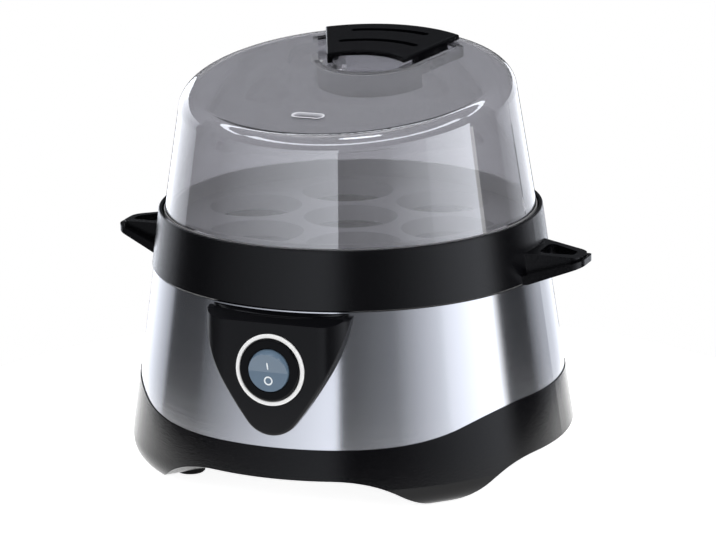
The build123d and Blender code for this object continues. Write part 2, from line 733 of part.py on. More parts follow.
shield_rim_z = pan_seat_z - pan_seat_thick
with BuildPart() as heat_shield:
    with BuildSketch(Plane.XZ):
        with BuildLine():
            dish = FilletPolyline((0, shield_floor_z), (shield_floor_r, shield_floor_z),
                                  (shield_mouth_r, shield_rim_z - shield_wall),
                                  (shield_rim_r, shield_rim_z - shield_wall),
                                  radius=(pan_corner, pan_corner / 4))
            inside = FilletPolyline((0, shield_floor_z + shield_wall),
                                    (shield_floor_r - shield_wall, shield_floor_z + shield_wall),
                                    (shield_mouth_r - shield_wall, shield_rim_z), (shield_rim_r, shield_rim_z),
                                    radius=(pan_corner - shield_wall, pan_corner / 4 + shield_wall))
            Line(dish @ 0, inside @ 0)
            Line(dish @ 1, inside @ 1)
        make_face()
    revolve(axis=Axis.Z)
    with BuildSketch(Plane.XY.offset(shield_floor_z)):
        Circle(thermostat_r + 2)
        with PolarLocations(stud_circle, stud_count, start_angle=30):
            Circle(stud_r + screw_gap)
        with Locations(*element_ends):
            Circle(2 * element_r)
    extrude(amount=shield_wall, mode=Mode.SUBTRACT)
save(heat_shield, "heat_shield")

with BuildPart() as thermostat:
    with BuildSketch(Plane.XY.offset(plate_bottom_z - thermostat_height)):
        Circle(thermostat_r)
    extrude(amount=thermostat_height)
    fillet(thermostat.edges().group_by(Axis.Z)[0], 1)
    with BuildSketch(Plane.XY.offset(plate_bottom_z - thermostat_height - blade_length)):
        with GridLocations(thermostat_r, 0, 2, 1):
            Rectangle(blade_thick, blade_width)
    extrude(amount=blade_length)
save(thermostat, "thermostat")

bracket_z = plate_bottom_z - thermostat_height / 2
with BuildPart() as thermostat_bracket:
    with BuildSketch(Plane.XY.offset(bracket_z - bracket_thick / 2)):
        with GridLocations(0, bracket_half + thermostat_r, 1, 2):
            Rectangle(bracket_width, bracket_half - thermostat_r + 4)
        Circle(thermostat_r + 2 * bracket_thick)
        Circle(thermostat_r, mode=Mode.SUBTRACT)
        with GridLocations(0, 2 * bracket_half, 1, 2):
            Circle(small_screw_r + screw_gap, mode=Mode.SUBTRACT)
    extrude(amount=bracket_thick)
    with BuildSketch(Plane.XY.offset(bracket_z + bracket_thick / 2)):
        with GridLocations(0, 2 * bracket_half, 1, 2):
            Circle(small_head_r)
            Circle(small_screw_r + screw_gap, mode=Mode.SUBTRACT)
    extrude(amount=plate_bottom_z - bracket_z - bracket_thick / 2)
save(thermostat_bracket, "thermostat_bracket")

with BuildPart() as thermostat_screws:
    with BuildSketch(Plane.XY.offset(bracket_z - bracket_thick / 2 - small_head)):
        with GridLocations(0, 2 * bracket_half, 1, 2):
            Circle(small_head_r)
    extrude(amount=small_head)
    with BuildSketch(Plane.XY.offset(bracket_z - bracket_thick / 2)):
        with GridLocations(0, 2 * bracket_half, 1, 2):
            Circle(small_screw_r)
    extrude(amount=plate_bottom_z - bracket_z + bracket_thick / 2)
save(thermostat_screws, "thermostat_screws")

with BuildPart() as thermal_fuse:
    with BuildSketch(Plane(origin=(fuse_x + thermostat_r, -fuse_length / 2, plate_bottom_z - fuse_r),
                           x_dir=(1, 0, 0), z_dir=(0, 1, 0))):
        Circle(fuse_r)
    extrude(amount=fuse_length)
    chamfer(thermal_fuse.faces().filter_by(Axis.Y).edges(), fuse_r / 4)
save(thermal_fuse, "thermal_fuse")

# ---------------------------------------------------------------- cord inlet bush and terminal block
with BuildPart() as cord_gland:
    with BuildSketch(inlet_plane.offset(-inlet_flange + snug_gap)):
        Circle(inlet_flange_r)
    extrude(amount=inlet_flange)
    with BuildSketch(inlet_plane.offset(-inlet_neck)):
        Circle(inlet_neck_r)
    extrude(amount=inlet_neck - inlet_flange + snug_gap)
    with BuildSketch(inlet_plane.offset(snug_gap)):
        Circle(inlet_bore_r)
    extrude(amount=-inlet_neck - 1, mode=Mode.SUBTRACT)
save(cord_gland, "cord_gland")

block_z = arch_z + mid_floor
pole_x = [block_length / block_poles * (i - (block_poles - 1) / 2) for i in range(block_poles)]
with BuildPart() as terminal_block:
    with BuildSketch(Plane.XY.offset(block_z)):
        with Locations((0, block_y + block_depth / 2)):
            Rectangle(block_length, block_depth)
    extrude(amount=block_height)
    fillet(terminal_block.edges().filter_by(Axis.Z), 1)
    with BuildSketch(Plane.XZ.offset(-block_y)):
        with Locations(*[(x, block_z + block_height / 2) for x in pole_x]):
            Circle(block_bore_r)
    extrude(amount=-block_depth, mode=Mode.SUBTRACT)
    with BuildSketch(Plane.XY.offset(block_z + block_height / 2)):
        with Locations(*[(x, block_y + block_depth / 2) for x in pole_x]):
            Circle(small_head_r + screw_gap)
    extrude(amount=block_height / 2, mode=Mode.SUBTRACT)
save(terminal_block, "terminal_block")

with BuildPart() as terminal_screws:
    with BuildSketch(Plane.XY.offset(block_z + block_height / 2 + wire_r)):
        with Locations(*[(x, block_y + block_depth / 2) for x in pole_x]):
            Circle(small_head_r)
    extrude(amount=small_head + wire_r)
save(terminal_screws, "terminal_screws")

# ---------------------------------------------------------------- wires
wire_in_z = block_z + block_height / 2
switch_back = switch_plane.offset(-barrel_depth - blade_length)


def wire(name, points, bends):
    """A round wire along straight runs joined by bends, one radius for each corner."""
    with BuildPart() as lead:
        with BuildLine() as route:
            FilletPolyline(*points, radius=bends)
        with BuildSketch(Plane(origin=route.line @ 0, z_dir=route.line % 0)):
            Circle(wire_r)
        sweep(path=route.line)
    save(lead, name)


drop_y = switch_back.origin.Y + wire_drop_gap       # where both wires turn down behind the switch
low_z, high_z = [switch_back.from_local_coords((0, row * blade_spacing / 2, 0)).Z for row in (-1, 1)]
low_y, high_y = [switch_back.from_local_coords((0, row * blade_spacing / 2, 0)).Y for row in (-1, 1)]
terminal_z = leg_bottom_z - terminal_length
block_out = (block_y - wire_run, wire_in_z)
wire("live_wire", [(0, low_y, low_z), (0, drop_y, low_z), (-wire_run / 2, drop_y, low_z - wire_run),
                   (-plate_r * 0.8, 0, wire_mid_z), (pole_x[0], *block_out), (pole_x[0], block_y, wire_in_z)],
     (1.8, 5, 8, 5))
wire("neutral_wire", [(pole_x[1], block_y, wire_in_z), (pole_x[1], *block_out),
                      (*element_ends[1], wire_low_z), (*element_ends[1], terminal_z)],
     (8, 5))
wire("earth_wire", [(pole_x[2], block_y, wire_in_z), (pole_x[2], *block_out),
                    (pole_x[2] + wire_run, block_y - 2 * wire_run, wire_mid_z),
                    (pole_x[2] + wire_run, block_y - 2 * wire_run, shield_floor_z)],
     (5, 4))
wire("switched_wire", [(0, high_y, high_z), (0, drop_y, high_z), (wire_run / 2, drop_y, high_z - wire_run),
                       (wire_run / 2, drop_y + 2, wire_mid_z + 4), (*element_ends[0], wire_mid_z),
                       (*element_ends[0], terminal_z)],
     (1.8, 3, 4, 4))

# ---------------------------------------------------------------- carrier ring with loop handles


def handle_layer(inset, root_z, tip_z):
    """One layer of a loop handle: its outline from above, cut to its side view."""
    root, tip = handle_root_half - inset, handle_tip_half - inset / 2
    end = handle_tip_x - inset / 3
    with BuildPart() as layer:
        with BuildSketch(Plane.XY.offset(carrier_bottom_z)) as plan:
            Polygon((handle_root_x - 1, -root), (end, -tip), (end, tip), (handle_root_x - 1, root), align=None)
            fillet(plan.vertices().group_by(Axis.X)[-1], min(handle_corner, 0.8 * tip))
        extrude(amount=carrier_top_z - carrier_bottom_z)
        with BuildSketch(Plane.XZ):
            Polygon((handle_root_x - 1, carrier_bottom_z), (carrier_bottom_r, carrier_bottom_z),
                    (handle_tip_x, handle_tip_z), (handle_tip_x, tip_z), (handle_root_x - 1, root_z), align=None)
        extrude(amount=2 * handle_root_half, both=True, mode=Mode.INTERSECT)
    return layer.part


with BuildPart() as loop_handle:
    add(handle_layer(0, carrier_bottom_z + handle_flange, handle_tip_z + handle_flange - 0.4))
    add(handle_layer(handle_body_inset, handle_root_top_z, handle_tip_top_z))
    # finger loop
    with BuildSketch(Plane.XY.offset(carrier_bottom_z - 1)) as loop:
        near, far = carrier_r(handle_root_top_z) + handle_web, handle_tip_x - handle_tip_web
        near_half = handle_root_half - handle_body_inset - 1.6 * handle_web
        far_half = handle_tip_half - handle_body_inset / 2 - handle_web
        Polygon((near, -near_half), (far, -far_half), (far, far_half), (near, near_half), align=None)
        fillet(loop.vertices(), 0.8 * far_half)
    extrude(amount=carrier_top_z - carrier_bottom_z, mode=Mode.SUBTRACT)

with BuildPart() as carrier_ring:
    with BuildSketch(Plane.XZ) as ring_section:
        flange_r = spigot_outer_r + body_gap
        flange_top = carrier_bottom_z + carrier_foot_flange
        Polygon((flange_r, carrier_bottom_z), (carrier_bottom_r, carrier_bottom_z), (carrier_top_r, carrier_top_z),
                (rim_inner_r, carrier_top_z), (rim_inner_r, rack_seat_z), (rack_ledge_inner_r, rack_seat_z),
                (rack_ledge_inner_r, rack_ledge_z), (carrier_r(rack_ledge_z) - carrier_wall, rack_ledge_z),
                (carrier_r(flange_top) - carrier_wall, flange_top), (flange_r, flange_top), align=None)
    revolve(axis=Axis.Z)
    fillet(carrier_ring.edges().filter_by(GeomType.CIRCLE).group_by(Axis.Z)[-1].sort_by(SortBy.RADIUS)[-1],
           0.35 * (carrier_top_r - rim_inner_r))
    fillet(carrier_ring.edges().filter_by(GeomType.CIRCLE).group_by(Axis.Z)[0].sort_by(SortBy.RADIUS)[-1], 0.6)
    with PolarLocations(0, 2):
        add(loop_handle.part)
save(carrier_ring, "carrier_ring")

# ---------------------------------------------------------------- egg rack
hole_spots = [(0, 0)] + [(egg_circle * cos(radians(rack_turn + 360 / egg_count * i)),
                          egg_circle * sin(radians(rack_turn + 360 / egg_count * i)))
                         for i in range(egg_count)]
with BuildPart() as egg_rack:
    # plate, upright wall with a rim for the lid, and a lip inside the lid
    with BuildSketch(Plane.XZ):
        wall_inner_r, rim_bottom_z = rack_wall_r - rack_lip_wall, rack_rim_z - rack_thick
        Polygon((0, rack_bottom_z), (rack_wall_r, rack_bottom_z), (rack_wall_r, rim_bottom_z),
                (rack_r, rim_bottom_z), (rack_r, rack_rim_z), (rack_wall_r, rack_rim_z),
                (rack_wall_r, rack_lip_z), (wall_inner_r, rack_lip_z), (wall_inner_r, rack_top_z),
                (0, rack_top_z), align=None)
    revolve(axis=Axis.Z)
    fillet(egg_rack.edges().group_by(Axis.Z)[-1], rack_lip_wall / 4)
    # a tapered cup under each hole
    for grow, mode in ((cup_wall, Mode.ADD), (0, Mode.SUBTRACT)):
        with Locations(*[(x, y, rack_top_z - cup_depth / 2) for x, y in hole_spots]):
            Cone(cup_bottom_r + grow, egg_hole_r + grow, cup_depth, mode=mode)
save(egg_rack, "egg_rack")

# ---------------------------------------------------------------- lid
lid_plane = Plane(origin=(0, 0, lid_top_z), x_dir=(1, 0, 0),
                  z_dir=(0, -sin(radians(lid_tilt)), cos(radians(lid_tilt))))
flare = radians(pocket_flare)


def pocket_side(along, inset=0.0):
    """Point on the right side of the pocket, at a distance along it from the front arc."""
    r = pocket_front_r - inset
    return (r * cos(flare) + along * sin(flare), pocket_front_y - r * sin(flare) + along * cos(flare))


def pocket_outline(grow, inset=0.0, back_r=pocket_back_r):
    """Front arc, two flared sides and a back arc about the lid's axis, grown by a wall."""
    reach = 2 * pocket_back_r
    with BuildSketch() as outline:
        with Locations((0, pocket_front_y)):
            Circle(pocket_front_r - inset + grow)
        (ax, ay), (bx, by) = pocket_side(0, inset - grow), pocket_side(reach, inset - grow)
        Polygon((ax, ay), (bx, by), (-bx, by), (-ax, ay), align=None)
        Circle(back_r + grow, mode=Mode.INTERSECT)
    return outline.sketch


def pocket_room(wall):
    """Room of the grip pocket, grown by a wall to the sides and below."""
    with BuildPart() as room:
        with BuildSketch(lid_plane.offset(-ledge_depth - wall)):
            add(pocket_outline(wall))
        extrude(amount=ledge_depth + wall + lid_round)
        with BuildSketch(lid_plane.offset(-pocket_depth - wall)):
            add(pocket_outline(wall))
            for side in (1, -1):
                corners = [pocket_side(ledge_front, -2 * wall - 1), pocket_side(2 * pocket_back_r, -2 * wall - 1),
                           pocket_side(2 * pocket_back_r, ledge_width - wall),
                           pocket_side(ledge_front, ledge_width - wall)]
                Polygon(*[(side * x, y) for x, y in corners], align=None, mode=Mode.SUBTRACT)
        extrude(amount=pocket_depth + wall)
    return room.part


def dome(inset):
    """The lid as a solid cone with a slanted, rounded top, drawn in by an inset."""
    low = lid_foot_z - inset
    high = lid_top_z + 4 * lid_round
    with BuildPart() as solid:
        with BuildSketch(Plane.XZ):
            Polygon((0, low), (lid_foot_r - inset + (lid_foot_z - low) * lid_slope, low),
                    (lid_foot_r - inset - (high - lid_foot_z) * lid_slope, high), (0, high), align=None)
        revolve(axis=Axis.Z)
        split(bisect_by=lid_plane.offset(-inset), keep=Keep.BOTTOM)
        fillet(solid.faces().sort_by(Axis.Z)[-1].edges(), lid_round - inset)
    return solid.part


grip_boss = pocket_side(grip_boss_along, grip_inset + grip_boss_r)
grip_boss_spots = [(side * grip_boss[0], grip_boss[1]) for side in (1, -1)]

with BuildPart() as lid_inside:
    add(dome(lid_wall))
    add(pocket_room(lid_wall), mode=Mode.SUBTRACT)

with BuildPart() as lid:
    add(dome(0))
    add(pocket_room(0), mode=Mode.SUBTRACT)
    add(lid_inside.part, mode=Mode.SUBTRACT)
    # steam vent, upright as the lid leaves its mould
    with BuildSketch(Plane.XY.offset(lid_top_z)):
        with Locations((0, lid_vent_y * cos(radians(lid_tilt)))):
            SlotOverall(lid_vent_length, lid_vent_width * cos(radians(lid_tilt)))
    extrude(amount=-lid_round - 2 * lid_wall, mode=Mode.SUBTRACT)
    with BuildSketch(lid_plane.offset(-ledge_depth)):
        with Locations(*grip_boss_spots):
            Circle(small_screw_r + screw_gap)
    extrude(amount=-2 * lid_wall, mode=Mode.SUBTRACT)
save(lid, "lid")

# ---------------------------------------------------------------- lid handle
with BuildPart() as lid_handle:
    with BuildSketch(lid_plane.offset(body_gap)):
        add(pocket_outline(0, grip_inset, grip_outer_r))
        Circle(grip_inner_r, mode=Mode.SUBTRACT)
    extrude(amount=grip_thick)
    fillet(lid_handle.faces().filter_by(lid_plane).sort_by(Axis.Z)[-1].edges(), grip_edge)
    with BuildSketch(lid_plane.offset(body_gap + grip_thick)):
        for radius, half_angle in groove_rows:
            with BuildLine() as groove:
                CenterArc((0, 0), radius, 90 - half_angle, 2 * half_angle)
            SlotArc(groove.line.edges()[0], groove_width)
    extrude(amount=-groove_depth, mode=Mode.SUBTRACT)
    # legs down to the ledges, with a screw boss in each
    with BuildSketch(lid_plane.offset(-ledge_depth)):
        for side in (1, -1):
            leg = [pocket_side(grip_leg_front, grip_inset), pocket_side(grip_leg_back, grip_inset),
                   pocket_side(grip_leg_back, grip_inset + grip_leg),
                   pocket_side(grip_leg_front, grip_inset + grip_leg)]
            Polygon(*[(side * x, y) for x, y in leg], align=None)
        with Locations(*grip_boss_spots):
            Circle(grip_boss_r)
    extrude(amount=ledge_depth + body_gap + 0.2)
    with BuildSketch(lid_plane.offset(-ledge_depth)):
        with Locations(*grip_boss_spots):
            Circle(small_screw_r + screw_gap)
    extrude(amount=ledge_depth, mode=Mode.SUBTRACT)
save(lid_handle, "lid_handle")

with BuildPart() as lid_handle_screws:
    with BuildSketch(lid_plane.offset(-ledge_depth - lid_wall - small_head)):
        with Locations(*grip_boss_spots):
            Circle(small_head_r)
    extrude(amount=small_head)
    with BuildSketch(lid_plane.offset(-ledge_depth - lid_wall)):
        with Locations(*grip_boss_spots):
            Circle(small_screw_r)
    extrude(amount=lid_wall + ledge_depth - 0.5)
save(lid_handle_screws, "lid_handle_screws")
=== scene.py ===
"""Looks of an electric egg boiler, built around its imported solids.

Lengths are written in millimetres and turned to metres where a mesh is made.  +Z is up, the
control panel faces -Y, and the origin lies on the upright axis at the level of the worktop.
"""
import json
import logging
from dataclasses import dataclass
from enum import Enum

import bpy
import numpy as np
from mathutils import Matrix, Vector


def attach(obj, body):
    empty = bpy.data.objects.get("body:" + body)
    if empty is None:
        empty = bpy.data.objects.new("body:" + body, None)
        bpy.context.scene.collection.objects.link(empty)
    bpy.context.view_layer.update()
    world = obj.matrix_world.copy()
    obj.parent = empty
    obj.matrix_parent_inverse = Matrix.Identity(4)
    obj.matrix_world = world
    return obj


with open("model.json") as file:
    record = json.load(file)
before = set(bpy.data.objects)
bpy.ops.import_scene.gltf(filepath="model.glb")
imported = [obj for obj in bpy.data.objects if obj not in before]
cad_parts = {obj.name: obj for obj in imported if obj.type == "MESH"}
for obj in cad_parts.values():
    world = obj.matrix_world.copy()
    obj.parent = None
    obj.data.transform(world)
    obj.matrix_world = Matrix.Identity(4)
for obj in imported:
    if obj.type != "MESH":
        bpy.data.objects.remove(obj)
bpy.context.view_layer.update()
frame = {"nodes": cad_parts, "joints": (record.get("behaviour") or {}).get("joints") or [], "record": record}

log = logging.getLogger("egg_boiler")
MM = 0.001
LID_TOP_Z = 159.3               # of the lid's slanted top, on the axis
LID_TOP_TILT = 8.4              # degrees, rising to the back
SWEEP_STEPS = 48                # of a fine sweep
BEAD_STEPS = 12                 # round a thin bead


# ---------------------------------------------------------------- small tools
def linear(hex_colour: str) -> tuple[float, float, float, float]:
    """Turn an sRGB hex colour into linear RGBA.

    Args:
        hex_colour: six hex digits, such as "1a1b1d".

    Returns:
        Linear red, green and blue, with an alpha of 1.
    """
    srgb = np.array([int(hex_colour[i:i + 2], 16) for i in (0, 2, 4)]) / 255.0
    rgb = np.where(srgb <= 0.04045, srgb / 12.92, ((srgb + 0.055) / 1.055) ** 2.4)
    return (float(rgb[0]), float(rgb[1]), float(rgb[2]), 1.0)


def add_node(tree: bpy.types.NodeTree, kind: str, settings: dict | None = None,
             sockets: dict | None = None) -> bpy.types.Node:
    """Add a node, set its properties, and fill or link its input sockets.

    Args:
        tree: the node tree that gets the node.
        kind: Blender's name of the node type.
        settings: property name to value.
        sockets: input name or number to a value, or to an output socket to link from.

    Returns:
        The new node.
    """
    node = tree.nodes.new(kind)
    for name, value in (settings or {}).items():
        setattr(node, name, value)
    for name, value in (sockets or {}).items():
        if isinstance(value, bpy.types.NodeSocket):
            tree.links.new(value, node.inputs[name])
        else:
            node.inputs[name].default_value = value
    return node


def new_material(name: str) -> tuple[bpy.types.Material, bpy.types.NodeTree]:
    """Make an empty node material.

    Args:
        name: the real material's name.

    Returns:
        The material and its emptied node tree.
    """
    material = bpy.data.materials.new(name)
    material.use_nodes = True
    material.node_tree.nodes.clear()
    return material, material.node_tree


def varied_gloss(tree: bpy.types.NodeTree, noise: bpy.types.Node, roughness: float,
                 spread: float) -> bpy.types.NodeSocket:
    """Roughness that varies with a noise.

    Args:
        tree: the node tree of the material.
        noise: the noise texture's node.
        roughness: the middle value.
        spread: how far it varies to either side.

    Returns:
        A value socket.
    """
    return add_node(tree, "ShaderNodeMapRange", None,
                    {"Value": noise.outputs["Fac"], "To Min": roughness - spread,
                     "To Max": roughness + spread}).outputs["Result"]


def relief(tree: bpy.types.NodeTree, noise: bpy.types.Node, deep_mm: float,
           weight: float) -> bpy.types.NodeSocket:
    """Normal that is tipped by a noise.

    Args:
        tree: the node tree of the material.
        noise: the noise texture's node.
        deep_mm: depth of the relief.
        weight: share of its effect, from 0 to 1.

    Returns:
        A vector socket.
    """
    return add_node(tree, "ShaderNodeBump", None,
                    {"Height": noise.outputs["Fac"], "Distance": deep_mm * MM,
                     "Strength": weight}).outputs["Normal"]


# ---------------------------------------------------------------- finishes
@dataclass(frozen=True)
class Texture:
    """Texture of a mould's face, which the plastic takes over."""

    deep_mm: float
    spread: float               # how far its roughness varies to either side


class Grain(Enum):
    """How the face of the mould was made: spark-eroded, satin or polished."""

    SPARK = Texture(0.08, 0.14)
    SATIN = Texture(0.015, 0.05)
    POLISHED = Texture(0.006, 0.05)


@dataclass(frozen=True)
class MouldedPlastic:
    """Moulded ABS, polypropylene or the like; the mould's texture gives a fine grain and a sheen."""

    name: str
    colour: str
    grain: Grain
    roughness: float
    specular: float = 0.5
    ior: float = 1.5
    grain_mm: float = 0.7       # spark erosion is finer; drawn this coarse so that it shows
    grain_weight: float = 0.8

    def make(self) -> bpy.types.Material:
        """Build the material: base colour, and bump and roughness from one noise."""
        material, tree = new_material(self.name)
        texture = self.grain.value
        place = add_node(tree, "ShaderNodeTexCoord")
        noise = add_node(tree, "ShaderNodeTexNoise", None,
                         {"Vector": place.outputs["Object"], "Scale": 1 / (self.grain_mm * MM),
                          "Detail": 3.0, "Roughness": 0.6})
        gloss = varied_gloss(tree, noise, self.roughness, texture.spread)
        normal = relief(tree, noise, texture.deep_mm, self.grain_weight)
        shader = add_node(tree, "ShaderNodeBsdfPrincipled", None,
                          {"Base Color": linear(self.colour), "Roughness": gloss, "IOR": self.ior,
                           "Specular IOR Level": self.specular, "Normal": normal})
        add_node(tree, "ShaderNodeOutputMaterial", None, {"Surface": shader.outputs["BSDF"]})
        return material


@dataclass(frozen=True)
class BrushedStainless:
    """Stainless sheet brushed round the body, which draws highlights out into upright bands."""

    name: str
    colour: str = "cdced2"
    roughness: float = 0.19
    spread: float = 0.05
    line_mm: float = 0.3        # grit lines are finer; drawn this coarse so that they show
    run_mm: float = 120.0
    scratch_mm: float = 0.008
    scratch_weight: float = 0.5
    anisotropy: float = 0.8
    quarter_turn: float = 0.25  # the highlights run across the lines

    def make(self) -> bpy.types.Material:
        """Build the material: noise squeezed to lines round Z, with the tangent (-y, x, 0)."""
        material, tree = new_material(self.name)
        place = add_node(tree, "ShaderNodeTexCoord")
        run, line = 1 / (self.run_mm * MM), 1 / (self.line_mm * MM)
        squeeze = add_node(tree, "ShaderNodeMapping", None,
                           {"Vector": place.outputs["Object"], "Scale": (run, run, line)})
        noise = add_node(tree, "ShaderNodeTexNoise", None,
                         {"Vector": squeeze.outputs["Vector"], "Scale": 1.0, "Detail": 4.0})
        gloss = varied_gloss(tree, noise, self.roughness, self.spread)
        normal = relief(tree, noise, self.scratch_mm, self.scratch_weight)
        split = add_node(tree, "ShaderNodeSeparateXYZ", None, {"Vector": place.outputs["Object"]})
        minus_y = add_node(tree, "ShaderNodeMath", {"operation": "MULTIPLY"},
                           {0: split.outputs["Y"], 1: -1.0})
        around = add_node(tree, "ShaderNodeCombineXYZ", None,
                          {"X": minus_y.outputs["Value"], "Y": split.outputs["X"], "Z": 0.0})
        along = add_node(tree, "ShaderNodeVectorMath", {"operation": "NORMALIZE"},
                         {0: around.outputs["Vector"]})
        shader = add_node(tree, "ShaderNodeBsdfPrincipled", None,
                          {"Base Color": linear(self.colour), "Metallic": 1.0, "Roughness": gloss,
                           "Anisotropic": self.anisotropy,
                           "Anisotropic Rotation": self.quarter_turn,
                           "Tangent": along.outputs["Vector"], "Normal": normal})
        add_node(tree, "ShaderNodeOutputMaterial", None, {"Surface": shader.outputs["BSDF"]})
        return material


@dataclass(frozen=True)
class PlainMetal:
    """A cast, plated or turned metal, with a faint mottle from handling."""

    name: str
    colour: str
    roughness: float
    spread: float = 0.06
    mottle_mm: float = 4.0

    def make(self) -> bpy.types.Material:
        """Build the material: one soft noise varies the roughness."""
        material, tree = new_material(self.name)
        place = add_node(tree, "ShaderNodeTexCoord")
        noise = add_node(tree, "ShaderNodeTexNoise", None,
                         {"Vector": place.outputs["Object"], "Scale": 1 / (self.mottle_mm * MM),
                          "Detail": 2.0})
        gloss = varied_gloss(tree, noise, self.roughness, self.spread)
        shader = add_node(tree, "ShaderNodeBsdfPrincipled", None,
                          {"Base Color": linear(self.colour), "Metallic": 1.0, "Roughness": gloss})
        add_node(tree, "ShaderNodeOutputMaterial", None, {"Surface": shader.outputs["BSDF"]})
        return material


@dataclass(frozen=True)
class PocketPaintedLight:
    """Painted light on the front wall of the grip pocket: a paler, less clear patch that stands in for the
    light the wall catches from above.

    The wall is the shell about radius r round an upright axis at (0, y), in front of that axis,
    between two depths under the slanted top.
    """

    axis_y: float = 29.5        # millimetres, as are the next four
    radius: float = 24.5
    half: float = 1.7           # half the shell's thickness
    shallow: float = 0.7
    deep: float = 12.6
    clear: float = 0.5          # the rest is white diffuse, part of the painted light
    colour: str = "ffffff"

    def mask(self, tree: bpy.types.NodeTree, place: bpy.types.NodeSocket) -> bpy.types.NodeSocket:
        """Socket that is 1 on the pocket's front wall and 0 elsewhere.

        Args:
            tree: the node tree of the material.
            place: the object coordinates.

        Returns:
            A value socket.
        """
        turn = np.radians(LID_TOP_TILT)
        from_axis = add_node(tree, "ShaderNodeVectorMath", {"operation": "SUBTRACT"},
                             {0: place, 1: (0, self.axis_y * MM, 0)})
        level = add_node(tree, "ShaderNodeVectorMath", {"operation": "MULTIPLY"},
                         {0: from_axis.outputs["Vector"], 1: (1, 1, 0)})
        reach = add_node(tree, "ShaderNodeVectorMath", {"operation": "LENGTH"},
                         {0: level.outputs["Vector"]})
        shell = add_node(tree, "ShaderNodeMath", {"operation": "COMPARE"},
                         {0: reach.outputs["Value"], 1: self.radius * MM, 2: self.half * MM})
        height = add_node(tree, "ShaderNodeVectorMath", {"operation": "DOT_PRODUCT"},
                          {0: place, 1: (0, -float(np.sin(turn)), float(np.cos(turn)))})
        middle = LID_TOP_Z * np.cos(turn) - (self.shallow + self.deep) / 2
        band = add_node(tree, "ShaderNodeMath", {"operation": "COMPARE"},
                        {0: height.outputs["Value"], 1: float(middle) * MM,
                         2: (self.deep - self.shallow) / 2 * MM})
        split = add_node(tree, "ShaderNodeSeparateXYZ", None, {"Vector": from_axis.outputs["Vector"]})
        front = add_node(tree, "ShaderNodeMath", {"operation": "LESS_THAN"},
                         {0: split.outputs["Y"], 1: 0.0})
        both = add_node(tree, "ShaderNodeMath", {"operation": "MULTIPLY"},
                        {0: shell.outputs["Value"], 1: band.outputs["Value"]})
        return add_node(tree, "ShaderNodeMath", {"operation": "MULTIPLY"},
                        {0: both.outputs["Value"], 1: front.outputs["Value"]}).outputs["Value"]


@dataclass(frozen=True)
class ClearMoulding:
    """Polished clear styrene or polycarbonate; a smoke tint darkens each wall it is seen through."""

    name: str
    colour: str
    roughness: float
    ior: float = 1.5
    ripple_mm: float = 18.0
    ripple_deep_mm: float = 0.04
    ripple_weight: float = 0.5
    clear: float = 1.0          # the rest is haze, which scatters light in the tint's colour
    specular: float = 0.5
    coat: float = 1.0           # refractive index of the polished skin; 1 is none
    # painted light: a whiter, less clear patch on the grip pocket's front wall, where one is given
    painted_pocket_light: PocketPaintedLight | None = None

    def make(self) -> bpy.types.Material:
        """Build the material: a transmitting shader with a long, very shallow ripple."""
        material, tree = new_material(self.name)
        place = add_node(tree, "ShaderNodeTexCoord")
        noise = add_node(tree, "ShaderNodeTexNoise", None,
                         {"Vector": place.outputs["Object"], "Scale": 1 / (self.ripple_mm * MM),
                          "Detail": 1.0})
        normal = relief(tree, noise, self.ripple_deep_mm, self.ripple_weight)
        clear, colour = self.clear, linear(self.colour)
        # painted light: the pocket's front wall turns less clear and whiter
        if self.painted_pocket_light:
            mask = self.painted_pocket_light.mask(tree, place.outputs["Object"])
            clear = add_node(tree, "ShaderNodeMapRange", None,
                             {"Value": mask, "To Min": self.clear,
                              "To Max": self.painted_pocket_light.clear}).outputs["Result"]
            colour = add_node(tree, "ShaderNodeMixRGB", None,
                              {"Fac": mask, "Color1": colour,
                               "Color2": linear(self.painted_pocket_light.colour)}).outputs["Color"]
        shader = add_node(tree, "ShaderNodeBsdfPrincipled", None,
                          {"Base Color": colour, "Roughness": self.roughness,
                           "IOR": self.ior, "Transmission Weight": clear,
                           "Specular IOR Level": self.specular, "Coat Weight": 1.0,
                           "Coat Roughness": self.roughness, "Coat IOR": self.coat,
                           "Normal": normal})
        add_node(tree, "ShaderNodeOutputMaterial", None, {"Surface": shader.outputs["BSDF"]})
        return material


